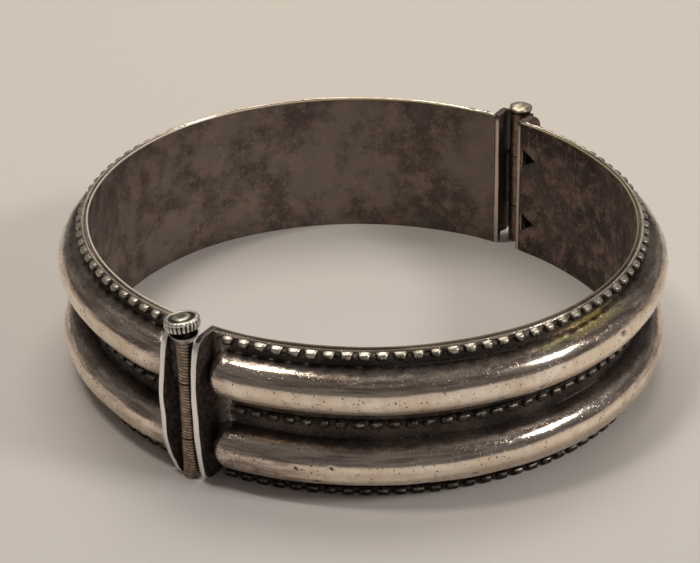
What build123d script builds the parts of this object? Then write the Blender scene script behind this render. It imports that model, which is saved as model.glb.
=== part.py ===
from build123d import *
import math
import os

# A hinged silver bangle that lies on its rim, in millimetres.
# The origin is the middle of the band at floor level, +Z is up along the band's axis,
# +X points to the hinge and -X to the clasp. The front half is at -Y, the rear half at +Y.

# Inside of the band: a slightly oval ring, whose short axis is turned from +X.
band_height = 18.0
inner_short = 59.2
inner_long = 63.6
oval_turn = 14.4

# The wall: a flat inner band, with an outer sheet soldered over it.
liner_wall = 0.5
sheet_wall = 0.35
ridge_heights = (4.3, 13.3)
ridge_radius = 2.7
ridge_centre_depth = 1.07
ridge_end_gap = 0.5

# Milled rows: bottom, middle and top, as the lowest and highest height of each.
milled_rows = ((0.1, 0.85), (8.55, 9.4), (17.1, 17.9))
milled_pitch = 1.87
milled_proud = 0.65
milled_base = 0.1
milled_root = 0.3
milled_end_gaps = (1.4, 2.8, 1.6)
tooth_half_widths = (0.68, 0.54, 0.32)
tooth_reaches = (0.0, 0.6, 1.0)
back_spans = 24

# End plates: one across each end of each half, leaning away from the pin outwards.
# Gap to the pin line, wall and reach of each plate; the first sign is the side (+1 hinge),
# the second the half (+1 rear).
plate_gaps = {(1, 1): 1.33, (1, -1): 1.33, (-1, 1): 1.6, (-1, -1): 1.3}
plate_walls = {(1, 1): 0.85, (1, -1): 0.85, (-1, 1): 0.7, (-1, -1): 0.7}
plate_reaches = {(1, 1): 4.65, (1, -1): 4.4, (-1, 1): 4.65, (-1, -1): 4.5}
plate_lean = 4.5
band_end = 1.75
ridge_start = 2.18
plate_shoulder = 3.75
plate_shoulder_drop = 1.4
plate_rim_reach = 2.5
plate_corner = (3.35, 0.45)
filed_foot = ((0.6, 0.0), (0.8, 1.3), (2.5, 0.8))

# Knuckles: three short tubes on each pin line, split at these heights.
pin_line_x = 32.6
pin_line_y = -0.8
knuckle_splits = (5.1, 12.1)
knuckle_gap = 0.12
hinge_knuckle_radius = 1.3
clasp_knuckle_radius = 1.0
bore_radius = 0.6
web_wall = 1.0
collar_radius = 1.45
collar_height = 0.9

# Pins.
pin_radius = 0.54
pin_foot = 0.3
hinge_head_radius = 1.45
hinge_head_height = 0.85
head_seat_gap = 0.06
neck_radius = 0.8
neck_height = 0.9
knob_radius = 1.95
knob_height = 1.15
knob_teeth = 24
knob_tooth_depth = 0.22
knob_chamfer = (0.4, 0.3)
knob_boss_radius = 1.0
knob_boss_height = 0.2

# Pointed vents, cut through the inner band beside the end that has two knuckles.
vent_length = 2.1
vent_height = 2.7

# Worked out from the sizes above.
short_radius = inner_short / 2
long_radius = inner_long / 2
centre_shift = (long_radius - short_radius) / (2 - math.sqrt(2))
flat_arc_radius = short_radius + centre_shift
tight_arc_radius = long_radius - centre_shift
wall = liner_wall + sheet_wall
hollow_radius = ridge_radius - sheet_wall
clasp_slot = 2 * (bore_radius + 0.02)
standing = (Align.CENTER, Align.CENTER, Align.MIN)


def arc_of(normal_angle):
    """Centre and inner radius of the oval's arc whose outward normal has this angle."""
    quarter = round((normal_angle - oval_turn) / 90) % 4
    toward = math.radians(oval_turn + 90 * quarter)
    flat = quarter % 2 == 0
    shift = -centre_shift if flat else centre_shift
    radius = flat_arc_radius if flat else tight_arc_radius
    return shift * math.cos(toward), shift * math.sin(toward), radius


def on_oval(normal_angle, depth):
    """Point on the oval moved outwards from the inner face by a depth."""
    x, y, radius = arc_of(normal_angle)
    turn = math.radians(normal_angle)
    return x + (radius + depth) * math.cos(turn), y + (radius + depth) * math.sin(turn)


def normal_at_line(y, side):
    """Normal angle at which the inner face crosses a line of constant y, on the +X or -X side."""
    x0, y0, radius = arc_of(0 if side > 0 else 180)
    turn = math.degrees(math.asin((y - y0) / radius))
    return turn if side > 0 else 180 - turn


def sweep_section(section, start, end):
    """Sweep a section drawn with x as depth and y as height round the oval, arc by arc."""
    joins = [oval_turn + 45 + 90 * k for k in range(-4, 8)]
    stops = [start] + [angle for angle in joins if start < angle < end] + [end]
    spans = []
    for low, high in zip(stops, stops[1:]):
        x, y, radius = arc_of((low + high) / 2)
        face = Plane.XZ * (Pos(radius, 0) * section)
        spans.append(Pos(x, y) * Rot(0, 0, low) * revolve(face, Axis.Z, high - low))
    whole = spans[0]
    for span in spans[1:]:
        whole += span
    return whole


def flat_section():
    """Section of the plain wall: inner band and outer sheet together."""
    return Pos(wall / 2, band_height / 2) * Rectangle(wall, band_height)


def round_section(height, radius, depth):
    """Section of a ridge or of its hollow: a round, kept only beyond a depth."""
    width = 4 * ridge_radius
    outside = Pos(depth + width / 2, height) * Rectangle(width, width)
    return (Pos(ridge_centre_depth, height) * Circle(radius)) & outside


def angle_of(length):
    """Turn of the band, in degrees, that a length along the ridges takes near the pins."""
    return math.degrees(length / (flat_arc_radius + ridge_centre_depth))


def round_end(height, normal_angle, radius):
    """Ball that rounds off a ridge's or a hollow's end, kept outside the inner band."""
    x, y = on_oval(normal_angle, ridge_centre_depth)
    ball = Pos(x, y, height) * Sphere(radius)
    width = 4 * ridge_radius
    x, y = on_oval(normal_angle, liner_wall + width / 2)
    return ball & (Pos(x, y, height) * Rot(0, 0, normal_angle) * Box(width, width, width))


def round_bar(height, start, end, radius, depth):
    """Ridge, or the hollow inside it, from one rounded end to the other."""
    bar = sweep_section(round_section(height, radius, depth), start, end)
    return bar + round_end(height, start, radius) + round_end(height, end, radius)


def milled_row(start, end, low, high):
    """Strip with square-shouldered teeth, like beads pressed in a strip of silver."""
    length = math.radians(end - start) * (short_radius + long_radius) / 2
    count = round(length / milled_pitch)
    step = (end - start) / count
    outline = []
    for tooth in range(count):
        middle = start + (tooth + 0.5) * step
        for side in (-1, 1):
            corners = list(zip(tooth_half_widths, tooth_reaches))
            for half_width, reach in (corners if side < 0 else corners[::-1]):
                depth = wall + milled_base + reach * (milled_proud - milled_base)
                turn = side * half_width / milled_pitch * step
                outline.append(on_oval(middle + turn, depth))
    inner_depth = wall - milled_root
    back = [on_oval(end - k * (end - start) / back_spans, inner_depth) for k in range(back_spans + 1)]
    strip = make_face(Polyline(*outline, *back, close=True))
    return Pos(0, 0, low) * extrude(strip, high - low)


def end_plate(side, facing):
    """Bowed plate soldered across the end of a half. side is +1 at the hinge, -1 at the clasp;
    facing is the half's side of the pin line, -1 in front and +1 behind."""
    gap = plate_gaps[side, facing]
    reach = plate_reaches[side, facing]
    low_shoulder = (plate_shoulder, plate_shoulder_drop)
    high_shoulder = (plate_shoulder, band_height - plate_shoulder_drop)
    corner_depth, corner_drop = plate_corner
    outline = [
        ThreePointArc(low_shoulder, (reach, band_height / 2), high_shoulder),
        ThreePointArc(high_shoulder, (corner_depth, band_height - corner_drop),
                      (plate_rim_reach, band_height)),
        Line((plate_rim_reach, band_height), (0, band_height)),
        Line((0, band_height), (0, 0)),
    ]
    if side > 0 and facing > 0:
        outline.append(Polyline((0, 0), *filed_foot, low_shoulder))
    else:
        outline.append(Line((0, 0), (plate_rim_reach, 0)))
        outline.append(ThreePointArc((plate_rim_reach, 0), (corner_depth, corner_drop), low_shoulder))
    face = Plane.XZ * make_face(outline)
    slab = extrude(face, plate_walls[side, facing], dir=(0, 1, 0))
    if side < 0:
        slab = mirror(slab, Plane.YZ)
    if facing < 0:
        slab = mirror(slab, Plane.XZ)
    inner_x = side * abs(on_oval(normal_at_line(pin_line_y + facing * gap, side), 0)[0])
    lean = Rot(0, 0, side * facing * plate_lean)
    return Pos(inner_x, pin_line_y + facing * gap) * lean * slab


def knuckle(side, radius, low, high, facing):
    """Short tube on a pin line with the web that joins it to its own end plate."""
    x = side * pin_line_x
    height = high - low
    barrel = Pos(x, pin_line_y, low) * Cylinder(radius, height, align=standing)
    reach = plate_gaps[side, facing] + plate_walls[side, facing] * 0.7
    web = Box(web_wall, reach, height, align=(Align.CENTER, Align.MIN, Align.MIN))
    if facing < 0:
        web = mirror(web, Plane.XZ)
    return barrel + Pos(x, pin_line_y, low) * web


def collar():
    """Flared mouth on the clasp's top knuckle."""
    base = band_height - collar_height
    cup = Cone(clasp_knuckle_radius, collar_radius, collar_height, align=standing)
    return Pos(-pin_line_x, pin_line_y, base) * cup


def vents(side, facing):
    """Two pointed notches through the inner band, beside the plate."""
    start_y = pin_line_y + facing * (plate_gaps[side, facing] + plate_walls[side, facing])
    cuts = None
    for height in ridge_heights:
        outline = Polyline((0, -vent_height / 2), (vent_length, 0), (0, vent_height / 2), close=True)
        wedge = extrude(Plane.YZ * make_face(outline), 2 * liner_wall, both=True)
        if facing < 0:
            wedge = mirror(wedge, Plane.XZ)
        inner_x = on_oval(normal_at_line(start_y, side), 0)[0]
        depth = side * (sheet_wall / 2 - liner_wall)
        cut = Pos(inner_x + depth, start_y, height) * wedge
        cuts = cut if cuts is None else cuts + cut
    return cuts


def half_region(facing):
    """Space that a half band may fill, cut off where its end plates stand."""
    size = 4 * long_radius
    y = pin_line_y + facing * band_end
    return Pos(0, y + facing * size / 2, band_height / 2) * Box(size, size, 2 * band_height)


def half_band(facing, two_knuckle_side):
    """One half of the bangle, with its plates and knuckles, as one soldered solid."""
    limit_y = pin_line_y + facing * ridge_start
    hinge_angle = normal_at_line(limit_y, 1)
    clasp_angle = normal_at_line(limit_y, -1)
    start, end = (hinge_angle, clasp_angle) if facing > 0 else (clasp_angle, hinge_angle + 360)
    over = angle_of(ridge_start - band_end + 0.5)
    solid = sweep_section(flat_section(), start - over, end + over) & half_region(facing)

    ridge_turn = angle_of(ridge_end_gap + ridge_radius)
    ridge_span = (start + ridge_turn, end - ridge_turn)
    for height in ridge_heights:
        solid += round_bar(height, *ridge_span, ridge_radius, liner_wall / 2)
    for (low, high), end_gap in zip(milled_rows, milled_end_gaps):
        gap_turn = angle_of(end_gap)
        solid += milled_row(start + gap_turn, end - gap_turn, low, high)
    for side in (1, -1):
        solid += end_plate(side, facing)
    for height in ridge_heights:
        solid -= round_bar(height, *ridge_span, hollow_radius, liner_wall)
    solid -= vents(two_knuckle_side, facing)

    low_split, high_split = knuckle_splits
    clear = knuckle_gap / 2
    ends = ((0, low_split - clear), (high_split + clear, band_height))
    middle = ((low_split + clear, high_split - clear),)
    for side, radius in ((1, hinge_knuckle_radius), (-1, clasp_knuckle_radius)):
        for low, high in (ends if side == two_knuckle_side else middle):
            solid += knuckle(side, radius, low, high, facing)
    if two_knuckle_side < 0:
        solid += collar()
    bore = Cylinder(bore_radius, 2 * band_height)
    for side in (1, -1):
        solid -= Pos(side * pin_line_x, pin_line_y, band_height / 2) * bore
    return solid


def clasp_slot_cut():
    """Slot that lets the clasp's middle knuckle pass the pin as the band swings open."""
    low, high = knuckle_splits
    slot = Box(clasp_slot, 2 * clasp_knuckle_radius, high - low,
               align=(Align.CENTER, Align.MIN, Align.MIN))
    return Pos(-pin_line_x, pin_line_y, low) * slot


def hinge_pin():
    """Riveted pin, turned as one profile: shank, broad head and its hammered dome."""
    seat = band_height + head_seat_gap
    edge_low = (hinge_head_radius * 0.9, seat)
    edge_high = (hinge_head_radius * 0.85, seat + hinge_head_height * 0.65)
    top = seat + hinge_head_height
    crown = (hinge_head_radius * 0.45, top)
    profile = [
        Polyline((0, top), (0, pin_foot), (pin_radius, pin_foot), (pin_radius, seat), edge_low),
        ThreePointArc(edge_low, (hinge_head_radius, seat + hinge_head_height * 0.3), edge_high),
        Polyline(edge_high, crown, (0, top)),
    ]
    pin = revolve(Plane.XZ * make_face(profile), Axis.Z, 360)
    return Pos(pin_line_x, pin_line_y) * pin


def knob():
    """Milled knob with a chamfered rim and a low boss where the pin's end is riveted over."""
    outline = []
    for tooth in range(knob_teeth):
        for part, drop in ((-0.3, 0), (0.3, 0), (0.5, knob_tooth_depth)):
            turn = 2 * math.pi * (tooth + part) / knob_teeth
            radius = knob_radius - drop
            outline.append((radius * math.cos(turn), radius * math.sin(turn)))
    wheel = extrude(make_face(Polyline(*outline, close=True)), knob_height)
    disc = Cylinder(knob_radius, knob_height, align=standing)
    disc = chamfer(disc.edges().sort_by(Axis.Z)[-1], *knob_chamfer)
    boss = Cone(knob_boss_radius, knob_boss_radius * 0.7, knob_boss_height, align=standing)
    return (wheel & disc) + Pos(0, 0, knob_height) * boss


def clasp_pin():
    """Pull-out pin: shank, a short neck under the knob, and the knob."""
    neck_base = band_height + head_seat_gap
    knob_base = band_height + neck_height
    shank = Pos(0, 0, pin_foot) * Cylinder(pin_radius, knob_base - pin_foot, align=standing)
    neck = Pos(0, 0, neck_base) * Cylinder(neck_radius, knob_base - neck_base, align=standing)
    return Pos(-pin_line_x, pin_line_y) * (shank + neck + Pos(0, 0, knob_base) * knob())


pieces = {
    "front_half": half_band(-1, 1) - clasp_slot_cut(),
    "rear_half": half_band(1, -1),
    "hinge_pin": hinge_pin(),
    "clasp_pin": clasp_pin(),
}

os.makedirs("parts", exist_ok=True)
for name, solid in pieces.items():
    export_step(solid, f"parts/{name}.step")
    box = solid.bounding_box()
    print(name, "solids", len(solid.solids()), "volume", round(solid.volume, 1),
          "x", round(box.min.X, 2), round(box.max.X, 2),
          "y", round(box.min.Y, 2), round(box.max.Y, 2),
          "z", round(box.min.Z, 2), round(box.max.Z, 2))
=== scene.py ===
import math
import bpy
from mathutils import Matrix, Vector, noise


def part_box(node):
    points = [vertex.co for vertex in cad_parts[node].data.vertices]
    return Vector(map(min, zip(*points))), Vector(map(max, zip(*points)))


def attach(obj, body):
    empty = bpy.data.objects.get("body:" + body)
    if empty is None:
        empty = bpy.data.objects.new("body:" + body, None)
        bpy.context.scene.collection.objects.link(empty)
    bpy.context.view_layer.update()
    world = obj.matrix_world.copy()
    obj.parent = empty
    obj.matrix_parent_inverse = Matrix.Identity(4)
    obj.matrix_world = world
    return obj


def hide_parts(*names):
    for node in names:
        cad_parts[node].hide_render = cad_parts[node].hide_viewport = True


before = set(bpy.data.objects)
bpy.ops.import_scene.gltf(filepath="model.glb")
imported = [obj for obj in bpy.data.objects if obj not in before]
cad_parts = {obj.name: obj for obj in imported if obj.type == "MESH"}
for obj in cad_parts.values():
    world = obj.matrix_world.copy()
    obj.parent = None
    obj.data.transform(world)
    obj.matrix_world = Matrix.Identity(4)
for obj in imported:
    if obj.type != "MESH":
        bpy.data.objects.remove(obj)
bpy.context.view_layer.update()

# Setting: the table top that the bangle lies on, four soft lamps and the photograph's viewpoint.
# The table is pale cream, painted greyer towards the near left as painted shade of the bangle's soft
# shadow; most light comes from above and behind.
mm = 0.001
scene = bpy.context.scene


class Signal:
    """A shader socket that can be used in sums, so that maths on masks reads as maths."""

    def __init__(self, tree, socket):
        self.tree, self.socket = tree, socket

    def node(self, kind, settings=None, output=0, **inputs):
        """Adds a node; inputs go by their names in lower case, a repeated name with its number."""
        made = self.tree.nodes.new(kind)
        for name, value in (settings or {}).items():
            setattr(made, name, value)
        for name, value in inputs.items():
            words, number = name.rsplit("_", 1) if name[-1].isdigit() else (name, 1)
            matches = [s for s in made.inputs if s.enabled and s.name.lower() == words.replace("_", " ")]
            target = matches[int(number) - 1]
            if isinstance(value, Signal):
                self.tree.links.new(value.socket, target)
            else:
                target.default_value = (*value, 1.0) if target.type == "RGBA" else value
        return Signal(self.tree, [s for s in made.outputs if s.enabled][output])

    def sum_of(self, operation, a, b, clamp=False):
        settings = {"operation": operation, "use_clamp": clamp}
        return self.node("ShaderNodeMath", settings, value_1=a, value_2=b)

    def __add__(self, other):
        return self.sum_of("ADD", self, other)

    def __radd__(self, other):
        return self.sum_of("ADD", other, self)

    def __sub__(self, other):
        return self.sum_of("SUBTRACT", self, other)

    def __rsub__(self, other):
        return self.sum_of("SUBTRACT", other, self)

    def __mul__(self, other):
        return self.sum_of("MULTIPLY", self, other)

    def __rmul__(self, other):
        return self.sum_of("MULTIPLY", other, self)

    def clip(self):
        return self.sum_of("ADD", self, 0.0, clamp=True)

    def above(self, low, high):
        """0 below low, 1 above high, smooth between."""
        return self.node("ShaderNodeMapRange", {"interpolation_type": "SMOOTHSTEP"},
                         value=self, from_min=low, from_max=high)

    def blend(self, below, over):
        """Colour that goes from one to the other as this mask goes from 0 to 1."""
        return self.node("ShaderNodeMix", {"data_type": "RGBA"}, factor=self, a=below, b=over)

    def noise(self, scale, detail=2.0, roughness=0.5):
        """Random cloud over this place; the scale is in clouds per millimetre."""
        return self.node("ShaderNodeTexNoise", vector=self, scale=scale, detail=detail,
                         roughness=roughness)

    def stretched(self, x, y, z):
        return self.node("ShaderNodeMapping", vector=self, scale=(x, y, z))

    def axis(self, number):
        return self.node("ShaderNodeSeparateXYZ", output=number, vector=self)

    def mark(self, name):
        """A mark of the mesh, such as its grime."""
        return self.node("ShaderNodeAttribute", {"attribute_name": name}, output=2)

    def bump(self, strength, distance, height):
        """Normal for a height; the distance is in millimetres."""
        return self.node("ShaderNodeBump", strength=strength, distance=distance * mm, height=height)


def new_material(name):
    """An empty principled material, its shader, and the place on the object in millimetres."""
    made = bpy.data.materials.new(name)
    made.use_nodes = True
    shader = made.node_tree.nodes["Principled BSDF"]
    place = Signal(made.node_tree, made.node_tree.nodes.new("ShaderNodeTexCoord").outputs["Object"])
    place = place.node("ShaderNodeVectorMath", {"operation": "SCALE"}, vector=place, scale=1 / mm)
    return made, shader, place


def set_finish(shader, **sockets):
    """Links signals to the shader's sockets, or sets plain values on them."""
    for name, value in sockets.items():
        target = shader.inputs[name.replace("_", " ").title()]
        if isinstance(value, Signal):
            value.tree.links.new(value.socket, target)
        else:
            target.default_value = value


def table_finish_with_painted_shade():
    made, shader, place = new_material("pale_table")
    # Painted shade: greyer and darker towards the near left, standing in for the bangle's soft shadow.
    far = place.axis(0) * 0.0042 + place.axis(1) * 0.0032 + place.noise(0.012) * 0.5 + 0.2
    far = far.above(0.0, 1.0)
    set_finish(shader, base_color=far.blend((0.66, 0.625, 0.605), (0.74, 0.695, 0.615)), roughness=0.62)
    return made


table_reach = 2.5
corners = [(x * table_reach, y * table_reach, 0.0) for x, y in ((-1, -1), (1, -1), (1, 1), (-1, 1))]
table_mesh = bpy.data.meshes.new("table_top")
table_mesh.from_pydata(corners, [], [(0, 1, 2, 3)])
table_mesh.materials.append(table_finish_with_painted_shade())
table_top = bpy.data.objects.new("table_top", table_mesh)
scene.collection.objects.link(table_top)

camera_place = Vector((-190.7, -142.6, 145.9)) * mm
camera_ahead = Vector((0.6907, 0.5229, -0.4995)).normalized()
camera_right = Vector((0.5952, -0.8034, -0.0180)).normalized()
camera_up = camera_right.cross(camera_ahead)
camera = bpy.data.objects.new("camera", bpy.data.cameras.new("camera"))
scene.collection.objects.link(camera)
turn = Matrix((camera_right, camera_up, -camera_ahead)).transposed()
camera.matrix_world = Matrix.Translation(camera_place) @ turn.to_4x4()
camera.data.sensor_width = 36.0
camera.data.lens = 120.45
camera.data.clip_start = 0.01
scene.camera = camera


def lamp(name, place, aim, size, power, shade):
    """Rectangular soft lamp at a place in millimetres, facing another."""
    data = bpy.data.lights.new(name, "AREA")
    data.shape = "RECTANGLE"
    data.size, data.size_y = size[0] * mm, size[1] * mm
    data.energy, data.color = power, shade
    made = bpy.data.objects.new(name, data)
    made.location = Vector(place) * mm
    made.rotation_mode = "QUATERNION"
    made.rotation_quaternion = (Vector(aim) - Vector(place)).to_track_quat("-Z", "Y")
    scene.collection.objects.link(made)


lamp("window", (119, -408, 310), (0, 0, 0), (130, 70), 0.8, (1.0, 0.97, 0.95))
lamp("ceiling", (-119, 151, 586), (0, 0, 0), (55, 130), 0.85, (1.0, 0.93, 0.85))
lamp("far_wall", (450, 300, 280), (0, 0, 0), (420, 240), 0.12, (1.0, 0.95, 0.86))
lamp("behind", (200, 152, 520), (0, 0, 0), (380, 300), 1.25, (1.0, 0.94, 0.86))
scene.view_settings.view_transform = "Standard"

world = bpy.data.worlds.new("room")
world.use_nodes = True
room_light = world.node_tree.nodes["Background"].inputs
room_light["Color"].default_value = (0.36, 0.34, 0.34, 1.0)
room_light["Strength"].default_value = 0.42
scene.world = world

# Inner bands: two strips of flat silver sheet bent to the wrist, the bangle's lining and its rims.
# Their ends butt against the end plates. Beside one plate of each strip two pointed vents are cut,
# which let the hot air out of the hollow ridges during soldering.
inner_short = 59.2
inner_long = 63.6
oval_turn = 14.4
band_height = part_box("front_half")[1].z / mm
pin_line_y = -0.8
pin_line_x = 32.6
ridge_start = 2.18
ridge_heights = (4.3, 13.3)
ridge_radius = 2.7
inner_wall = 0.26
outer_face = 0.85
band_lap = 0.3

short_radius = inner_short / 2
long_radius = inner_long / 2
centre_shift = (long_radius - short_radius) / (2 - math.sqrt(2))


def arc_of(angle):
    """Centre and inner radius of the oval's arc whose outward normal has this angle in degrees."""
    quarter = round((angle - oval_turn) / 90) % 4
    toward = math.radians(oval_turn + 90 * quarter)
    flat = quarter % 2 == 0
    shift = -centre_shift if flat else centre_shift
    radius = short_radius + centre_shift if flat else long_radius - centre_shift
    return shift * math.cos(toward), shift * math.sin(toward), radius


def on_oval(angle, depth, height):
    """Point of the band: its outward normal's angle, depth outside the inner face, height."""
    x, y, radius = arc_of(angle)
    turn = math.radians(angle)
    return Vector((x + (radius + depth) * math.cos(turn), y + (radius + depth) * math.sin(turn), height))


def angle_at_line(y, side):
    """Angle at which the inner face meets a line of constant y, at the hinge (+1) or clasp (-1)."""
    x0, y0, radius = arc_of(0 if side > 0 else 180)
    turn = math.degrees(math.asin((y - y0) / radius))
    return turn if side > 0 else 180 - turn


def half_angles(facing, inset=0.0):
    """First and last angle of a half band, behind (+1) or in front (-1), inset from its plates."""
    y = pin_line_y + facing * (ridge_start + inset)
    hinge, clasp = angle_at_line(y, 1), angle_at_line(y, -1)
    return (hinge, clasp) if facing > 0 else (clasp, hinge + 360)


def spread(low, high, count):
    return [low + (high - low) * k / count for k in range(count + 1)]


def skin(name, rows, across=False, along=False, caps=False, sharp=40, **marks):
    """Mesh object over rows of points in millimetres, closed across each row or along the rows.
    Marks are rows of numbers, one for each point, that the finishes read as dirt, wear and so on."""
    count, width = len(rows), len(rows[0])
    faces = []
    for i in range(count if along else count - 1):
        for j in range(width if across else width - 1):
            a, b = i * width + j, i * width + (j + 1) % width
            c, d = (i + 1) % count * width + (j + 1) % width, (i + 1) % count * width + j
            faces.append((a, b, c, d))
    if caps:
        faces.append(tuple(reversed(range(width))))
        faces.append(tuple((count - 1) * width + j for j in range(width)))
    made = bpy.data.meshes.new(name)
    made.from_pydata([tuple(p * mm) for row in rows for p in row], [], faces)
    for mark, values in marks.items():
        layer = made.attributes.new(mark, "FLOAT", "POINT")
        layer.data.foreach_set("value", [v for row in values for v in row])
    made.shade_smooth()
    made.set_sharp_from_angle(angle=math.radians(sharp))
    piece = bpy.data.objects.new(name, made)
    scene.collection.objects.link(piece)
    return piece


def hand_made(point, size, height, seed=0.0):
    """Uneven surface of hammered work: a smooth random height for a point in millimetres."""
    return height * noise.noise(point / size + Vector((seed, 1.7 * seed, 0.3)))


def settled(piece):
    """Applies a piece's modifiers, so that the result is a plain mesh."""
    graph = bpy.context.evaluated_depsgraph_get()
    made = bpy.data.meshes.new_from_object(piece.evaluated_get(graph))
    piece.modifiers.clear()
    piece.data = made
    return piece


def dress(piece, finish, body, slot, *nodes):
    """Gives a piece its finish and says which body it moves with and which nodes it stands for."""
    if finish:
        piece.data.materials.clear()
        piece.data.materials.append(finish)
    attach(piece, body)
    if nodes:
        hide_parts(*nodes)


def inside_finish(name, low, high, stain, stained, rim):
    """Grey-brown tarnish, mottled and scratched upright, with pinkish stains and pale flecks.
    The top rim is of the given rim colour, turning olive towards the hinge; that colour is a painted
    reflection on the rear band and painted shade on the front band."""
    made, shader, place = new_material(name)
    cloud = place.noise(0.16, 6.0, 0.62)
    blotch = place.noise(0.45, 6.0, 0.65)
    grain = place.noise(2.4, 4.0, 0.65)
    scratch = place.stretched(1.6, 1.6, 0.14).noise(1.0, 4.0, 0.6)
    shade = cloud.above(0.38, 0.62).blend(low, high)
    shade = ((blotch + grain * 0.3).above(stained - 0.07, stained + 0.15) * 0.7).blend(shade, stain)
    shade = (scratch.above(0.56, 0.72) * 0.25).blend(shade, stain)
    shade = (grain.above(0.58, 0.70) * 0.6).blend(shade, (0.42, 0.35, 0.30))
    shade = ((blotch + grain).above(0.86, 0.70) * 0.5).blend(shade, (0.07, 0.05, 0.04))
    # The rim colour passed in is painted light: a painted reflection on the rear band, painted shade on
    # the front band.
    rim = place.axis(0).above(4.0, 26.0).blend(rim, (0.44, 0.38, 0.22))
    shade = place.axis(2).above(17.8, 17.93).blend(shade, rim)
    rough = cloud * 0.25 + grain * 0.22 + 0.36
    bump = place.bump(0.4, 0.06, grain + blotch * 0.8)
    set_finish(shader, base_color=shade, roughness=rough, metallic=0.85, normal=bump)
    return made


def vent_cutter(facing, height):
    """Prism of a pointed vent, its broad end at the plate."""
    vent_length, vent_height, within, beyond = 2.1, 2.7, 1.1, 3.0
    side = -facing
    y = pin_line_y + facing * (ridge_start - 0.05)
    x = side * short_radius
    triangle = [(0.0, -vent_height / 2), (vent_length, 0.0), (0.0, vent_height / 2)]
    rows = [[Vector((x + side * depth, y + facing * a, height + b)) for a, b in triangle]
            for depth in (within, -beyond)]
    return skin("vent_cutter", rows, across=True, caps=True)


def inner_band(name, facing):
    """Strip of the lining with softly rounded rims and a step for the solder behind it."""
    top = band_height
    rim = [(0.0, top - 0.2), (0.03, top - 0.06), (0.09, top), (inner_wall - 0.08, top),
           (inner_wall, top - 0.07), (inner_wall + 0.01, top - 0.3), (0.6, top - 0.32)]
    inside = [(0.0, z) for z in spread(0.25, top - 0.25, 26)[:-1]]
    loop = inside + rim + [(d, top - z) for d, z in reversed(rim)][:-1]
    rows = []
    first, last = half_angles(facing, -band_lap)
    for angle in spread(first, last, 260):
        row = []
        settle = min(1.0, (angle - first) / 4.0, (last - angle) / 4.0)
        for depth, height in loop:
            point = on_oval(angle, depth, height)
            lift = (hand_made(point, 9.0, 0.09, facing) + hand_made(point, 2.6, 0.025, facing)) * settle
            rim_lift = hand_made(point, 6.0, 0.07, facing + 4) if height > top - 0.3 else 0.0
            row.append(on_oval(angle, depth + lift, height + min(rim_lift, 0.0)))
        rows.append(row)
    piece = skin(name, rows, across=True, caps=True, sharp=50)
    for height in ridge_heights:
        cutter = vent_cutter(facing, height)
        cut = piece.modifiers.new("vent", "BOOLEAN")
        cut.operation, cut.object, cut.solver = "DIFFERENCE", cutter, "EXACT"
        settled(piece)
        bpy.data.objects.remove(cutter)
    return piece


# The front band's finish is a darker copy of the rear band's, as painted shade on the front half's
# inside, and its rim is painted dark as painted shade; the rear band's rim is painted bright as a painted
# reflection.
front_inside = inside_finish("painted_shade_inside", low=(0.070, 0.052, 0.045), high=(0.14, 0.11, 0.094),
                             stain=(0.38, 0.25, 0.21), stained=0.67, rim=(0.20, 0.17, 0.12))
rear_inside = inside_finish("brown_inside", low=(0.125, 0.098, 0.083), high=(0.26, 0.215, 0.185),
                            stain=(0.34, 0.235, 0.19), stained=0.66, rim=(0.74, 0.69, 0.58))
dress(inner_band("front_inner_band", -1), front_inside, "front_half", "band_silver", "front_half")
dress(inner_band("rear_inner_band", 1), rear_inside, "rear_half", "band_silver", "rear_half")

# Outer sheets: thinner silver soldered over each inner band, raised into two hollow half-round
# ridges with rounded ends. Wear keeps the ridges bright, and the hollows between are black-brown.
ridge_depth = 1.07
ridge_end_gap = -0.2
ridge_cap = 1.9
flat_ridge = 0.2
sheet_wall = 0.3

# Places where hands and cloth have rubbed the upper side bright: angle round the band, height, their
# spreads, and strength, which is negative where dirt gathers. Nicks in the sheet: angle, height, size.
# Grime by a ridge's lean in degrees, up from facing outwards, and by millimetres from the band's end.
# By lean it paints the ridges' upper side darker: partly patina, partly painted shade.
rubbed = ((197, 15.5, 9, 0.5, 0.5), (198, 6.5, 8, 0.5, 0.45), (247, 15.1, 11, 0.5, 0.4),
          (251, 6.2, 9, 0.5, 0.35), (262, 15.9, 13, 0.5, 0.6), (168, 15.4, 10, 0.5, 0.3),
          (330, 15.2, 14, 0.5, 0.3), (20, 15.3, 12, 0.5, 0.35), (75, 15.2, 12, 0.5, 0.35),
          (300, 6.3, 12, 0.5, 0.3), (195, 3.6, 9, 2.0, -0.5), (166, 4.0, 12, 2.2, -0.15),
          (166, 13.0, 12, 2.2, -0.15), (284, 4.5, 9, 2.5, -0.2), (285, 12.6, 8, 2.0, -0.2))
nicks = ((189.4, 12.6, 0.26), (203.0, 4.6, 0.24), (206.5, 2.9, 0.3), (209.0, 4.9, 0.22),
         (268.0, 13.8, 0.36), (246.0, 11.9, 0.2), (233.0, 3.1, 0.2), (60.0, 13.0, 0.3), (120.0, 4.0, 0.3))
grime_and_shade_by_lean = ((-90, 0.9), (-78, 0.35), (-55, 0.03), (0, 0.0), (16, 0.05), (24, 0.3), (45, 0.42),
                 (62, 0.72), (75, 1.0), (90, 1.0))
grime_by_edge = ((0.0, 1.0), (0.5, 0.62), (1.6, 0.3), (4.0, 0.0))
solder_reach = 4.5


def level_between(value, steps):
    """Number for a value, read from a list of pairs with straight lines between them."""
    for (x0, y0), (x1, y1) in zip(steps, steps[1:]):
        if value <= x1:
            return y0 + (y1 - y0) * max(0.0, value - x0) / (x1 - x0)
    return steps[-1][1]


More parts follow.
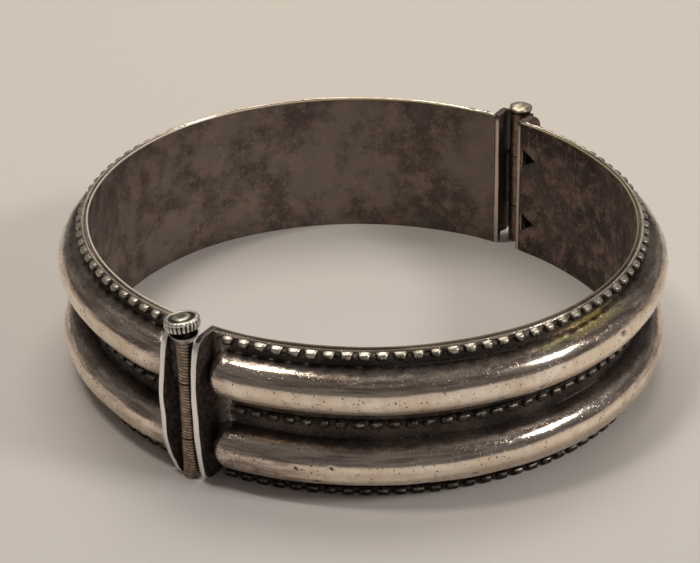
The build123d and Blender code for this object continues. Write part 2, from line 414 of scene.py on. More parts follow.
def handled(angle, height):
    """How far a place has been rubbed clean, and how deep a nick goes there."""
    rub, dent = 0.0, 0.0
    for place, level, wide, tall, strength in rubbed:
        away = ((angle - place + 180) % 360 - 180) / wide
        rub += strength * math.exp(-away ** 2 - ((height - level) / tall) ** 2)
    for place, level, size in nicks:
        away = math.radians((angle - place + 180) % 360 - 180) * (short_radius + ridge_radius)
        dent = max(dent, 1.0 - math.hypot(away / 1.6, height - level) / size)
    return rub, dent


def ridge_size(length):
    """Radius of the ridge at a length from the plate, along the band."""
    beyond = 1 - (length - ridge_end_gap) / ridge_cap
    if beyond <= 0:
        return ridge_radius
    return max(ridge_radius * math.sqrt(max(1 - beyond ** 2, 0.0)), flat_ridge)


def sheet_section(radius):
    """Depth, height and grime down the outer sheet for one radius of the ridges."""
    foot = math.asin(max(-0.9, (outer_face - ridge_depth) / radius))
    fade = min(1.0, (radius - flat_ridge) / 0.6)
    half_width = radius * math.cos(foot)
    points = [(outer_face - 0.4, 0.08, 0.9), (outer_face - 0.1, 0.08, 0.8), (outer_face, 0.18, 0.8)]
    low = 0.3
    for height in ridge_heights:
        flats = spread(low, height - half_width, 9)
        points += [(outer_face, z, 1.0) for z in flats[:-1]]
        for turn in spread(foot, math.pi - foot, 30):
            rise = ridge_depth + radius * math.sin(turn) - outer_face
            lean = math.degrees(turn) - 90
            grime = level_between(lean, grime_and_shade_by_lean)
            points.append((outer_face + rise * fade, height - radius * math.cos(turn), grime))
        low = height + half_width + 0.02
    points += [(outer_face, z, 1.0) for z in spread(low, band_height - 0.3, 7)]
    points += [(outer_face, band_height - 0.2, 0.5), (outer_face - 0.1, band_height - 0.1, 0.2),
               (outer_face - 0.4, band_height - 0.1, 0.3)]
    return points


def sheet_stations(facing):
    """Angles along a half, closer together over the rounded ends."""
    first, last = half_angles(facing, 0.0)
    per_mm = math.degrees(1 / (short_radius + centre_shift + ridge_depth))
    total = (last - first) / per_mm
    turns = spread(0.3, math.pi / 2, 18)
    ends = [-0.4, -0.15] + [ridge_end_gap + ridge_cap * (1 - math.cos(turn)) for turn in turns]
    middle = spread(ends[-1], total - ends[-1], 330)[1:-1]
    lengths = ends + middle + [total - e for e in reversed(ends)]
    return [(first + length * per_mm, length, total - length) for length in lengths]


def outer_sheet(name, facing):
    rows, marks, golden, ends = [], [], [], []
    for angle, from_start, from_end in sheet_stations(facing):
        edge = min(from_start, from_end)
        section = sheet_section(ridge_size(edge))
        turn = math.radians(angle)
        outward = Vector((math.cos(turn), math.sin(turn), 0.0))
        row, row_marks, row_gold = [], [], []
        for j, (depth, height, grime) in enumerate(section):
            before, after = section[max(j - 1, 0)], section[min(j + 1, len(section) - 1)]
            along = (after[0] - before[0], after[1] - before[1])
            size = math.hypot(*along) or 1.0
            normal = (along[1] / size, -along[0] / size)
            point = on_oval(angle, depth, height)
            rough = 1.0 + 3.0 * max(0.0, 1.0 - edge / solder_reach)
            lift = hand_made(point, 7.0, 0.085, facing + 2) + hand_made(point, 2.2, 0.03 * rough, facing)
            lift += hand_made(point, 0.8, 0.012 * rough, facing)
            rub, dent = handled(angle, height)
            lift -= 0.12 * dent
            row.append(point + (outward * normal[0] + Vector((0, 0, normal[1]))) * lift)
            row_marks.append(max(grime - rub, level_between(edge, grime_by_edge), 1.2 * dent))
            far = ((angle - 260) / 16) ** 2 + ((height - 16.1) / 0.55) ** 2 if angle > 200 else 9.0
            row_gold.append(math.exp(-far))
        rows.append(row)
        marks.append(row_marks)
        golden.append(row_gold)
        ends.append([max(0.0, 1.0 - edge / solder_reach)] * len(row))
    for part in (rows, marks, golden, ends):
        part.reverse()
    piece = skin(name, rows, sharp=35, grime=marks, gold=golden, solder=ends)
    shell = piece.modifiers.new("wall", "SOLIDIFY")
    shell.thickness, shell.offset = sheet_wall * mm, -1.0
    return settled(piece)


def ridge_finish():
    """Worn silver, warm with thin tarnish, pitted, with black-brown patina where grime gathers. The grime
    on the ridges' upper side is partly painted shade, and pale flecks there are partly painted glints.
    """
    made, shader, place = new_material("worn_ridge_silver")
    grime, gold, solder = place.mark("grime"), place.mark("gold"), place.mark("solder")
    cloud = place.noise(0.22, 5.0, 0.6)
    patch = place.noise(0.9, 5.0, 0.65)
    grain = place.noise(4.5, 3.0, 0.6)
    streak = place.stretched(0.22, 0.22, 3.0).noise(1.0, 4.0, 0.6)
    pits = place.node("ShaderNodeTexVoronoi", vector=place, scale=2.1)
    pit = (1 - pits.above(0.12, 0.24)) * patch.above(0.42, 0.56)
    # The grime mark paints the ridges' upper side darker, partly patina and partly painted shade, so the
    # film and dirt carry that painted shade too.
    film = grime.above(0.03, 0.32)
    dirt = (grime * 1.35 + patch * 0.9 + grain * 0.5 - 1.08).above(0.0, 0.75)
    # Pale flecks in the tarnish film: partly bare silver, partly painted glints.
    speck_and_glint = grain.above(0.53, 0.68) * film * (1 - grime.above(0.6, 0.95)) * patch.above(0.42, 0.6)
    bare = (solder * 0.7 + patch * 0.8 + grain * 0.5 - 1.05).above(0.0, 0.2)
    clean = cloud.above(0.35, 0.7).blend((0.86, 0.72, 0.57), (0.98, 0.89, 0.75))
    clean = (patch.above(0.46, 0.66) * 0.5).blend(clean, (0.66, 0.50, 0.36))
    filmed = streak.above(0.38, 0.62).blend((0.28, 0.20, 0.155), (0.74, 0.62, 0.52))
    clean = (film * 0.8).blend(clean, filmed)
    clean = (speck_and_glint * 0.4).blend(clean, (0.80, 0.74, 0.66))
    golden = (gold * 1.3 - 0.15).above(0.0, 0.5) * streak.above(0.40, 0.55)
    clean = golden.blend(clean, (0.98, 0.83, 0.42))
    dark = (cloud * 0.5 + grain * 0.5).above(0.42, 0.62).blend((0.04, 0.030, 0.024), (0.125, 0.10, 0.082))
    dirt = (dirt - bare * 0.8).clip()
    shade = (bare * 0.8).blend(dirt.blend(clean, dark), (0.56, 0.52, 0.47))
    shade = pit.blend(shade, (0.06, 0.04, 0.03))
    normal = place.node("ShaderNodeNewGeometry", output=1)
    matt = normal.axis(2).above(-0.15, -0.7) * 0.28
    rough = (dirt * 0.36 + grain * 0.08 + patch * 0.06 + pit * 0.3 + speck_and_glint * 0.1 + matt + 0.075).clip()
    bumps = grain * (dirt * 0.8 + 0.12) + patch * 0.45 + speck_and_glint * 0.12 + bare * 0.6 - pit * 1.4
    bump = place.bump(0.5, 0.05, bumps)
    set_finish(shader, base_color=shade, roughness=rough, metallic=1 - dirt * 0.45, normal=bump)
    return made


ridge_silver = ridge_finish()
dress(outer_sheet("front_outer_sheet", -1), ridge_silver, "front_half", "band_silver")
dress(outer_sheet("rear_outer_sheet", 1), ridge_silver, "rear_half", "band_silver")

# Milled rows: three strips of silver with square-shouldered teeth, like beads pressed side by side,
# soldered along both rims and down the valley between the ridges. Wear brightens the rim's teeth, and
# painted light from above brightens the teeth's tops and outer faces.
bead_pitch = 1.87
bead_lengths = (1.5, 1.52, 1.78)
bead_reaches = (0.72, 0.8, 1.02)
bead_tapers = (0.07, 0.09, 0.24)
bead_droops = (0.3, 0.3, 0.62)
row_levels = ((0.1, 0.85), (8.55, 9.4), (16.9, 17.92))
row_depths = (1.18, 1.14, 0.95)
row_end_gaps = (1.4, 2.8, 1.6)


def bead_finish():
    """Black-brown in the notches; the teeth's tops and the top row are lighter, partly rubbed to silver
    and partly painted light from above.
    """
    made, shader, place = new_material("beaded_silver")
    grain, patch = place.noise(2.6, 5.0, 0.65), place.noise(0.35, 3.0)
    worn_and_top_lit = place.mark("wear") + place.axis(2).above(12.0, 17.0) * 0.22
    worn_and_top_lit = (worn_and_top_lit + grain * 0.7 + patch * 0.4 - 0.72).above(0.0, 0.45)
    dark = grain.above(0.4, 0.7).blend((0.022, 0.016, 0.013), (0.10, 0.08, 0.065))
    shade = worn_and_top_lit.blend(dark, (0.66, 0.60, 0.49))
    set_finish(shader, base_color=shade, roughness=0.52 - worn_and_top_lit * 0.2, metallic=worn_and_top_lit * 0.3 + 0.7,
               normal=place.bump(0.45, 0.05, grain))
    return made


class Tree:
    """Geometry node tree in the making: named inputs, and one method that adds any node."""

    def __init__(self, name, sizes):
        self.tree = bpy.data.node_groups.new(name, "GeometryNodeTree")
        self.tree.interface.new_socket("Geometry", in_out="INPUT", socket_type="NodeSocketGeometry")
        for size in sizes:
            self.tree.interface.new_socket(size, in_out="INPUT", socket_type="NodeSocketFloat")
        self.tree.interface.new_socket("Seed", in_out="INPUT", socket_type="NodeSocketInt")
        self.tree.interface.new_socket("Geometry", in_out="OUTPUT", socket_type="NodeSocketGeometry")
        self.given = self.tree.nodes.new("NodeGroupInput").outputs
        self.result = self.tree.nodes.new("NodeGroupOutput").inputs[0]

    def feed(self, target, value):
        if isinstance(value, bpy.types.NodeSocket):
            self.tree.links.new(value, target)
        else:
            target.default_value = value

    def node(self, kind, settings=None, output=0, **inputs):
        """Adds a node; inputs go by their names in lower case, a repeated name with its number."""
        made = self.tree.nodes.new(kind)
        for name, value in (settings or {}).items():
            setattr(made, name, value)
        for name, value in inputs.items():
            words, number = name.rsplit("_", 1) if name[-1].isdigit() else (name, 1)
            matches = [s for s in made.inputs if s.enabled and s.name.lower() == words.replace("_", " ")]
            self.feed(matches[int(number) - 1], value)
        return [s for s in made.outputs if s.enabled][output]

    def maths(self, operation, a, b):
        return self.node("ShaderNodeMath", {"operation": operation}, value_1=a, value_2=b)

    def finish(self, shape, material):
        """Ends the tree: real geometry, one material."""
        whole = self.node("GeometryNodeRealizeInstances", geometry=shape)
        whole = self.node("GeometryNodeSetMaterial", geometry=whole, material=material)
        self.tree.links.new(whole, self.result)

    def grow_on(self, piece, seed, **sizes):
        """Puts the tree on a piece, with sizes by name, and turns the result into a plain mesh."""
        grower = piece.modifiers.new("grow", "NODES")
        grower.node_group = self.tree
        named = {item.name: item.identifier for item in self.tree.interface.items_tree}
        for name, value in sizes.items():
            grower[named[name.capitalize()]] = value
        grower[named["Seed"]] = seed
        return settled(piece)


def beading_tree(material):
    """Teeth set along every spline of a path, each tapered outwards, its top drooping, softly rounded."""
    tree = Tree("beading", ("Pitch", "Length", "Reach", "Height", "Taper", "Droop"))
    given = tree.given
    path = tree.node("GeometryNodeMeshToCurve", mesh=given["Geometry"])
    points = tree.node("GeometryNodeResampleCurve", {"mode": "LENGTH"}, curve=path, length=given["Pitch"])
    cube = tree.node("GeometryNodeMeshCube", size=(2, 2, 2), vertices_x=6, vertices_y=5, vertices_z=5)
    here = tree.node("GeometryNodeInputPosition")
    ball = tree.node("ShaderNodeVectorMath", {"operation": "NORMALIZE"}, vector=here)
    pillow = tree.node("ShaderNodeMix", {"data_type": "VECTOR"}, factor=0.36, a=here, b=ball)
    parts = [tree.node("ShaderNodeSeparateXYZ", output=axis, vector=pillow) for axis in range(3)]
    outward = tree.maths("MULTIPLY", tree.maths("ADD", parts[1], 1.0), given["Taper"])
    narrow = tree.maths("MULTIPLY", parts[0], tree.maths("SUBTRACT", 1.0, outward))
    over = tree.maths("MULTIPLY", tree.maths("ADD", parts[2], 1.0), tree.maths("ADD", parts[1], 1.0))
    fall = tree.maths("MULTIPLY", over, tree.maths("MULTIPLY", given["Droop"], 0.25))
    lower = tree.maths("SUBTRACT", parts[2], fall)
    shape = tree.node("ShaderNodeCombineXYZ", x=narrow, y=parts[1], z=lower)
    bead = tree.node("GeometryNodeSetPosition", geometry=cube, position=shape)
    # Wear and top light: each tooth's top, outer face and one end are stored lighter, partly wear and
    # partly painted light from above.
    wears = [tree.maths("MULTIPLY", part, share) for part, share in zip(parts, (-0.12, 0.20, 0.34))]
    wear = tree.maths("ADD", tree.maths("ADD", wears[1], wears[2]), wears[0])
    bead = tree.node("GeometryNodeStoreNamedAttribute", {"data_type": "FLOAT", "domain": "POINT"},
                     geometry=bead, name="wear", value=wear)
    bead = tree.node("GeometryNodeSetShadeSmooth", geometry=bead)
    halves = [tree.maths("MULTIPLY", given[name], 0.5) for name in ("Length", "Reach", "Height")]
    size = tree.node("ShaderNodeCombineXYZ", x=halves[0], y=halves[1], z=halves[2])
    jitter = tree.node("FunctionNodeRandomValue", {"data_type": "FLOAT_VECTOR"}, seed=given["Seed"],
                       min=(0.86, 0.86, 0.92), max=(1.1, 1.12, 1.05))
    scale = tree.node("ShaderNodeVectorMath", {"operation": "MULTIPLY"}, vector_1=size, vector_2=jitter)
    along = tree.node("GeometryNodeInputTangent")
    turn = tree.node("FunctionNodeAlignRotationToVector", {"axis": "X", "pivot_axis": "Z"}, vector=along)
    beads = tree.node("GeometryNodeInstanceOnPoints", points=points, instance=bead, rotation=turn,
                      scale=scale)
    tree.finish(beads, material)
    return tree


def milled_row(name, facing, row, tree):
    """One row's teeth, on the path of their middles."""
    low, high = row_levels[row]
    first, last = half_angles(facing, row_end_gaps[row])
    places = [(on_oval(angle, row_depths[row], 0.0), angle) for angle in spread(last, first, 300)]
    path = bpy.data.meshes.new(name)
    path.from_pydata([(p.x * mm, p.y * mm, (low + high) / 2 * mm) for p, angle in places],
                     [(k, k + 1) for k in range(300)], [])
    piece = bpy.data.objects.new(name, path)
    scene.collection.objects.link(piece)
    return tree.grow_on(piece, 3 + facing + 7 * row, pitch=bead_pitch * mm, length=bead_lengths[row] * mm,
                        reach=bead_reaches[row] * mm, height=(high - low) * mm, taper=bead_tapers[row],
                        droop=bead_droops[row])


def row_strip(name, facing, row):
    """The low strip under a row's teeth."""
    low, high = row_levels[row]
    first, last = half_angles(facing, 0.25 if row == 2 else row_end_gaps[row] - 0.7)
    inner = 0.3 if row == 2 else outer_face - 0.1
    outer = row_depths[row] - 0.06
    high -= 0.22 if row == 2 else 0.0
    loop = [(inner, low + 0.05), (outer - 0.08, low + 0.05), (outer, low + 0.14), (outer, high - 0.14),
            (outer - 0.08, high - 0.04), (inner + 0.05, high), (inner, high - 0.04)]
    rows = []
    for angle in spread(last, first, 220):
        row_points = []
        for depth, height in loop:
            point = on_oval(angle, depth, height)
            lift = hand_made(point, 1.3, 0.06, facing + row)
            drop = min(0.0, hand_made(point, 2.0, 0.06, facing + row + 3))
            row_points.append(on_oval(angle, depth + lift, height + drop))
        rows.append(row_points)
    # The strip's top outer corner is marked lighter: partly wear, partly painted light from above.
    marks = [[0.0, 0.0, 0.05, 0.1, 0.15, 0.05, 0.0]] * len(rows)
    return skin(name, rows, across=True, caps=True, wear=marks)


beaded = bead_finish()
beading = beading_tree(beaded)
for facing, half in ((-1, "front"), (1, "rear")):
    for row, level in enumerate(("bottom", "middle", "top")):
        teeth = milled_row(f"{half}_milled_row_{level}", facing, row, beading)
        dress(teeth, None, f"{half}_half", "band_silver")
        strip = row_strip(f"{half}_milled_strip_{level}", facing, row)
        dress(strip, beaded, f"{half}_half", "band_silver")

# End plates: a bowed plate of thick sheet soldered across each end of each half, which closes the
# ridges and carries the knuckles. The filed edges are bright, the faces dark.
plate_lean = 4.5
plate_gaps = {(1, 1): 1.33, (1, -1): 1.33, (-1, 1): 1.6, (-1, -1): 1.3}
plate_walls = {(1, 1): 0.85, (1, -1): 0.85, (-1, 1): 0.7, (-1, -1): 0.7}
plate_reaches = {(1, 1): 4.65, (1, -1): 4.4, (-1, 1): 4.65, (-1, -1): 4.5}
plate_shoulder = (3.75, 1.4)
plate_corner = (3.3, 0.5)
plate_rim = 2.2
filed_foot = ((0.6, 0.02), (0.8, 1.3), (2.5, 0.8))
bent_foot = 1.0
plate_inset = 0.12
plate_top_grime = ((band_height - 0.7, 0.0), (band_height - 0.1, 1.0))


def arc_through(start, middle, end, count):
    """Points of the arc through three points in a plane."""
    (x1, y1), (x2, y2), (x3, y3) = start, middle, end
    d = 2 * (x1 * (y2 - y3) + x2 * (y3 - y1) + x3 * (y1 - y2))
    s1, s2, s3 = x1 * x1 + y1 * y1, x2 * x2 + y2 * y2, x3 * x3 + y3 * y3
    cx = (s1 * (y2 - y3) + s2 * (y3 - y1) + s3 * (y1 - y2)) / d
    cy = (s1 * (x3 - x2) + s2 * (x1 - x3) + s3 * (x2 - x1)) / d
    radius = math.hypot(x1 - cx, y1 - cy)
    a1, a2 = math.atan2(y1 - cy, x1 - cx), math.atan2(y3 - cy, x3 - cx)
    if a2 < a1 - math.pi:
        a2 += 2 * math.pi
    return [(cx + radius * math.cos(a), cy + radius * math.sin(a)) for a in spread(a1, a2, count)]


def plate_outline(facing, side):
    """Outline of a plate as depth and height, anticlockwise from the low inner corner."""
    depth, drop = plate_shoulder
    corner, corner_drop = plate_corner
    top = band_height
    if side > 0 and facing > 0:
        foot = [(0.0, 0.02), *filed_foot]
    elif side < 0 and facing > 0:
        foot = [(0.0, 0.02), (2.5, 0.02), (3.3, 0.02), (3.6, 0.3), (3.72, 0.8)]
    else:
        foot = arc_through((plate_rim, 0.02), (corner, corner_drop), (depth, drop), 6)
        foot = [(0.0, 0.02)] + foot[:-1]
    bow = arc_through((depth, drop), (plate_reaches[side, facing], top / 2), (depth, top - drop), 28)
    shoulder = arc_through((depth, top - drop), (corner, top - corner_drop), (plate_rim, top), 6)[1:]
    inner = [(0.0, z) for z in spread(top, 0.02, 20)[:-1]]
    return [(max(depth, plate_inset), height) for depth, height in foot + bow + shoulder + inner]


def end_plate(name, facing, side):
    gap, thick = plate_gaps[side, facing], plate_walls[side, facing]
    gap_y = pin_line_y + facing * gap
    inner = abs(on_oval(angle_at_line(gap_y, side), 0.0, 0.0).x)
    lean = math.radians(plate_lean)
    outline = plate_outline(facing, side)
    centre = Vector((2.0, band_height / 2))
    rows, marks = [], []
    ease = 0.1
    for wall, shrink in ((0.0, ease), (0.03, 0.03), (0.1, 0.0), (thick - 0.1, 0.0),
                         (thick - 0.03, 0.03), (thick, ease)):
        row = []
        for depth, height in outline:
            pull = Vector((depth, height)) - centre
            pull = pull - Vector((shrink * math.copysign(min(1.0, abs(pull.x)), pull.x),
                                  shrink * math.copysign(min(1.0, abs(pull.y) * 0.3), pull.y)))
            flat = centre + pull
            away = wall * math.cos(lean) + flat.x * math.sin(lean)
            out = flat.x * math.cos(lean) - wall * math.sin(lean)
            if side < 0 and facing > 0:
                away -= bent_foot * max(0.0, 1.0 - flat.y / 2.8) ** 2
            point = Vector((side * (inner + out), gap_y + facing * away, flat.y))
            wave = hand_made(point, 3.5, 0.12, side + 2 * facing)
            thin = hand_made(point, 2.0, 0.1, side + facing) * (wall / thick - 0.5)
            row.append(point + Vector((side * wave, wave + facing * thin, 0.0)))
        rows.append(row)
        share = 1.0 if shrink == 0.0 else 0.35
        marks.append([1.0 if shrink == ease else share * level_between(height, plate_top_grime)
                      for depth, height in outline])
    if facing * side > 0:
        rows.reverse()
    return skin(name, rows, across=True, caps=True, grime=marks)


def plate_finish(name, bright, low, high):
    """Bright filed edges, faces dark with grime."""
    made, shader, place = new_material(name)
    grain, fine = place.noise(1.6, 5.0, 0.65), place.noise(7.0)
    dirt = (place.mark("grime") * 1.25 + grain * 0.9 - 0.6).above(0.0, 0.7)
    shade = dirt.blend(bright, grain.above(0.4, 0.7).blend(low, high))
    set_finish(shader, base_color=shade, roughness=dirt * 0.25 + fine * 0.2 + 0.24,
               metallic=1 - dirt * 0.3, normal=place.bump(0.4, 0.04, fine + grain))
    return made


plate_silvers = {1: plate_finish("hinge_plate_silver", bright=(0.60, 0.49, 0.40),
                                 low=(0.10, 0.072, 0.058), high=(0.19, 0.14, 0.115)),
                 -1: plate_finish("clasp_plate_silver", bright=(1.0, 0.97, 0.92),
                                  low=(0.05, 0.038, 0.032), high=(0.15, 0.115, 0.095))}
for facing, half in ((-1, "front"), (1, "rear")):
    for side, end in ((1, "hinge"), (-1, "clasp")):
        plate = end_plate(f"{half}_{end}_plate", facing, side)
        dress(plate, plate_silvers[side], f"{half}_half", "band_silver")

# Knuckles: three short tubes on each pin, soldered by turns to one half's plate and the other's.
# The clasp's are ringed like close-wound wire, and its top one opens in a bright flared collar.
# The clasp's middle one is slotted towards the rear half, so that the pin can swing out of it.
knuckle_splits = (5.1, 12.1)
knuckle_gap = 0.12
bore = 0.6
ring_pitch = 0.37
hinge_knuckle = 1.3
clasp_knuckle = 1.0
collar_radius = 1.62
ring_slope = 0.2
slot_half_turn = 62


def lathe(name, x, profile, count, first=0.0, last=360.0, seed=0.0, sharp=40):
    """Turned ring, or part of a turn, on a pin line from a closed profile of radius, height and grime.
    What lies between its ends slopes down to the photograph's right, as wound wire does."""
    whole = last - first >= 360.0
    low, high = min(point[1] for point in profile), max(point[1] for point in profile)
    rows, marks = [], []
    for angle in spread(first, last, count)[:-1] if whole else spread(first, last, count):
        turn = math.radians(angle)
        row = []
        for radius, height, grime in profile:
            point = Vector((x + radius * math.cos(turn), pin_line_y + radius * math.sin(turn), height))
            wave = hand_made(point, 2.4, 0.03, seed) if radius > bore + 0.05 else 0.0
            within = max(0.0, min(1.0, height - low - 0.05, high - 0.05 - height))
            toward_right = camera_right.x * math.cos(turn) + camera_right.y * math.sin(turn)
            slant = -ring_slope * toward_right * within
            row.append(point + Vector((math.cos(turn) * wave, math.sin(turn) * wave, slant)))
        rows.append(row)
        marks.append([grime for radius, height, grime in profile])
    rows.reverse()
    marks.reverse()
    return skin(name, rows, across=True, along=whole, caps=not whole, sharp=sharp, grime=marks)


def ringed_profile(low, high, radius, depth):
    """Closed profile of a tube, ringed outside as if wound, plain inside its bore."""
    count = max(2, round((high - low) / ring_pitch))
    outside = []
    for k in range(count):
        base = low + (high - low) * k / count
        step = (high - low) / count
        for part in (0.0, 0.22, 0.5, 0.78):
            hollow = 1 - math.sin(math.pi * part)
            outside.append((radius - depth * hollow, base + part * step, hollow))
    return outside + [(radius - depth, high, 1.0), (bore, high, 1.0), (bore, low, 1.0)]


def collar_profile(low, high):
    """Closed profile of the flared mouth."""
    outside = [(0.92, low, 0.3), (0.98, low + 0.1, 0.1), (1.12, low + 0.28, 0.0), (1.3, low + 0.5, 0.0),
               (1.48, low + 0.72, 0.0), (collar_radius - 0.03, high - 0.1, 0.0),
               (collar_radius, high - 0.04, 0.0), (collar_radius - 0.05, high, 0.0)]
    mouth = [(1.5, high, 0.0), (1.44, high - 0.05, 1.0), (1.2, high - 0.25, 1.0), (0.9, high - 0.5, 1.0)]
    return outside + mouth + [(bore, low + 0.2, 1.0), (bore, low, 1.0)]


def web(name, side, radius, low, high, facing):
    """Fillet of solder between a knuckle and its plate, on the side towards the band."""
    near, far = radius * 0.75, plate_gaps[side, facing] + 0.4
    middle = (near + far) / 2
    outline = [(0.5, near), (0.6, middle), (1.0, far), (-0.3, far), (-0.1, middle), (0.0, near)]
    rows = []
    for height in spread(low + 0.03, high - 0.03, 16):
        row = []
        for a, b in outline:
            point = Vector((side * (pin_line_x - a), pin_line_y + facing * b, height))
            row.append(point + Vector((hand_made(point, 0.9, 0.12, 5.0), 0.0, 0.0)))
        rows.append(row[::-1] if facing * side > 0 else row)
    return skin(name, rows, across=True, caps=True, sharp=60)


def knuckle_finish(name, bright, dark, groove=None):
    """Silver with grainy tarnish; where a groove colour is given, it fills the hollows."""
    made, shader, place = new_material(name)
    grain, fine = place.noise(1.5, 5.0, 0.6), place.noise(6.0)
    shade = grain.above(0.36, 0.66).blend(dark, bright)
    if groove:
        shade = (place.mark("grime") * 1.1 + grain * 0.4 - 0.25).above(0.0, 0.8).blend(shade, groove)
    set_finish(shader, base_color=shade, roughness=grain * 0.25 + 0.24, metallic=0.92,
               normal=place.bump(0.3, 0.03, fine + grain))
    return made


clasp_silver = knuckle_finish("wound_silver", bright=(0.62, 0.49, 0.37), dark=(0.22, 0.165, 0.12),
                              groove=(0.13, 0.095, 0.07))
hinge_silver = knuckle_finish("hinge_silver", bright=(0.30, 0.22, 0.175), dark=(0.14, 0.10, 0.08))
collar_silver = knuckle_finish("collar_silver", bright=(0.94, 0.91, 0.86), dark=(0.74, 0.68, 0.60),
                               groove=(0.02, 0.015, 0.012))
solder = knuckle_finish("old_solder", bright=(0.10, 0.08, 0.07), dark=(0.03, 0.022, 0.018))

low_split, high_split = knuckle_splits
clear = knuckle_gap / 2
levels = {"bottom": (0.02, low_split - clear), "middle": (low_split + clear, high_split - clear),
          "top": (high_split + clear, band_height)}
for side, end, radius, depth, finish in ((1, "hinge", hinge_knuckle, 0.01, hinge_silver),
                                         (-1, "clasp", clasp_knuckle, 0.05, clasp_silver)):
    for level, (low, high) in levels.items():
        facing = -side if level != "middle" else side
        half = "front" if facing < 0 else "rear"
        x = side * pin_line_x
        bridge = web(f"{end}_knuckle_{level}_solder", side, radius, low, high, facing)
        dress(bridge, solder, f"{half}_half", "band_silver")
        if side < 0 and level == "top":
            collar = lathe("clasp_collar", x, collar_profile(high - 0.9, high + 0.1), 40, seed=2.0)
            dress(collar, collar_silver, "rear_half", "band_silver")
            high -= 0.9
        slotted = side < 0 and level == "middle"
        turns = (90 + slot_half_turn, 450 - slot_half_turn) if slotted else (0.0, 360.0)
        profile = ringed_profile(low, high, radius, depth)
        tube = lathe(f"{end}_knuckle_{level}", x, profile, 40, *turns, seed=side, sharp=60)
        dress(tube, finish, f"{half}_half", "band_silver")

# Hinge pin: a silver rivet through the hinge knuckles, its head hammered into an uneven dome.
pin_radius = 0.54
pin_foot = 0.3
head_seat = band_height + 0.06
head_rise = 0.85


def turned_pin(name, x, profile, count, uneven=0.0, edge=None, tilt=(0.0, 0.0)):
    """Solid of revolution on a pin line from an open profile of radius, height and grime.
    uneven dents whatever is wider than the shank, edge shapes it, tilt leans it to a side."""
    rows, marks = [], []
    for radius, height, grime in profile:
        row, row_marks = [], []
        wide = min(1.0, max(0.0, radius / pin_radius - 1.0))
        above = max(0.0, height - head_seat)
        for k in range(count):
            turn = 2 * math.pi * k / count
            drop, dirt = edge(turn, radius, height) if edge else (0.0, 0.0)
            out = Vector((math.cos(turn), math.sin(turn), 0.0))
            point = out * (radius - drop) + Vector((0, 0, height))
            swell = hand_made(point, 0.9, uneven, x) * wide
            lean = sum(a * b for a, b in zip(out[:2], tilt)) * (radius - drop)
            sway = Vector((-tilt[0], -tilt[1], 0.0)) * above
            lift = min(0.0, hand_made(point, 1.3, uneven, -x)) + (lean if above > 0 else 0.0)
            row.append(point + out * swell + sway + Vector((x, pin_line_y, lift if above > 0 else 0.0)))
            row_marks.append(min(1.0, grime + dirt))
        rows.append(row)
        marks.append(row_marks)
    return skin(name, rows, across=True, caps=True, sharp=50, grime=marks)


def head_profile():
    top = head_seat + head_rise
    shank = [(pin_radius * 0.8, pin_foot, 0.5), (pin_radius, pin_foot + 0.1, 0.5)]
    shank += [(pin_radius, z, 0.5) for z in spread(pin_foot + 0.5, head_seat, 8)]
    head = [(1.1, head_seat, 1.0), (1.32, head_seat + 0.08, 0.9), (1.43, head_seat + 0.22, 0.5),
            (1.42, head_seat + 0.4, 0.3), (1.3, head_seat + 0.56, 0.2), (1.05, head_seat + 0.68, 0.2),
            (0.8, top - 0.08, 0.2), (0.5, top - 0.02, 0.3), (0.25, top, 0.2), (0.06, top, 0.2)]
    return shank + head


pin_silver = knuckle_finish("pin_silver", bright=(0.74, 0.68, 0.52), dark=(0.36, 0.31, 0.22),
                            groove=(0.05, 0.04, 0.03))
rivet = turned_pin("riveted_hinge_pin", pin_line_x, head_profile(), 48, uneven=0.2)
dress(rivet, pin_silver, "front_half", "pin_silver", "hinge_pin")

# Clasp pin: a pin that is pulled up to open the bangle, with a milled knob riveted on its end.
# Rounded flutes round the knob's edge give the fingers a hold; its top has a ring and a boss.
knob_base = band_height + 0.6
knob_rise = 1.28
knob_radius = 1.95
knob_teeth = 24
knob_flute = 0.24
knob_nick = 0.08
fluted_share = 0.62
neck_radius = 0.58
knob_tilt = (-0.02, -0.17)


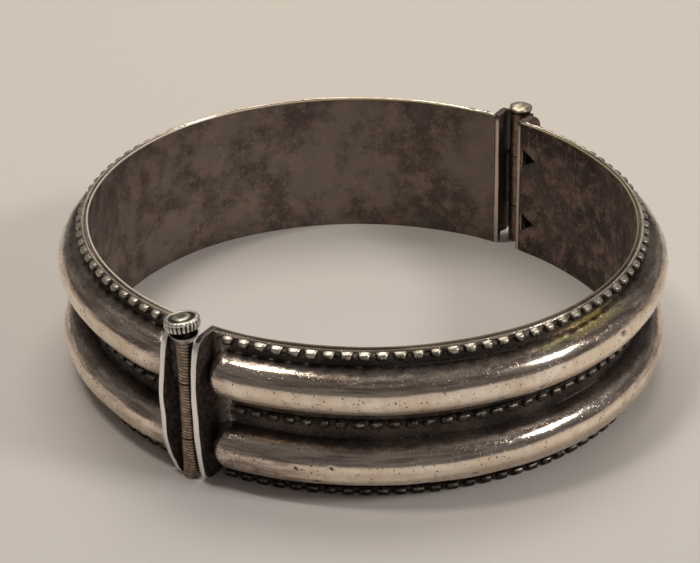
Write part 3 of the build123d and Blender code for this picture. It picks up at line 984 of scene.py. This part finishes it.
def knob_edge(turn, radius, height):
    """How far the milled edge lies in, and how dirty it is, at a turn, radius and height."""
    level = (height - knob_base) / knob_rise
    if radius < 1.55 or level < 0.01 or level > 0.97:
        return 0.0, 0.0
    groove = 0.5 - 0.5 * math.cos(knob_teeth * turn)
    if level < fluted_share:
        return knob_flute * groove ** 2.4, 1.2 * groove ** 3
    return knob_nick * groove ** 2.4, 0.3 * groove


def knob_profile():
    """Shank, neck, the milled edge in two tiers, and the face with its groove and boss."""
    top = knob_base + knob_rise
    shank = [(pin_radius * 0.7, pin_foot, 0.5), (pin_radius, pin_foot + 0.15, 0.5)]
    shank += [(pin_radius, z, 0.5) for z in spread(pin_foot + 0.6, head_seat, 8)]
    # The neck and the knob's underside carry full grime, which draws them near black: painted shade in
    # the gap under the knob.
    neck = [(neck_radius, head_seat, 1.0), (neck_radius, knob_base, 1.0)]
    edge = [(knob_radius - inset, knob_base + rise, grime) for inset, rise, grime in (
            (0.5, 0.0, 1.0), (0.21, 0.05, 0.4), (0.09, 0.15, 0.0), (0.02, 0.3, 0.0), (0.0, 0.55, 0.0),
            (0.02, 0.76, 0.1), (0.08, 0.83, 0.4), (0.03, 0.89, 0.1), (0.02, 1.02, 0.0), (0.09, 1.2, 0.0),
            (0.21, 1.26, 0.0), (0.35, 1.28, 0.1))]
    face = [(radius, top + rise, grime) for radius, rise, grime in (
            (1.46, -0.03, 0.4), (1.34, -0.12, 0.9), (1.22, -0.15, 1.0), (1.12, -0.12, 0.9),
            (1.02, -0.02, 0.5), (0.9, 0.08, 0.3), (0.7, 0.14, 0.4), (0.4, 0.12, 0.6), (0.1, 0.11, 0.6))]
    return shank + neck + edge + face


knob_silver = knuckle_finish("knob_silver", bright=(0.96, 0.94, 0.88), dark=(0.60, 0.55, 0.44),
                             groove=(0.06, 0.05, 0.03))
clasp_pin = turned_pin("milled_clasp_pin", -pin_line_x, knob_profile(), 240, 0.05, knob_edge, knob_tilt)
dress(clasp_pin, knob_silver, "clasp_pin", "pin_silver", "clasp_pin")
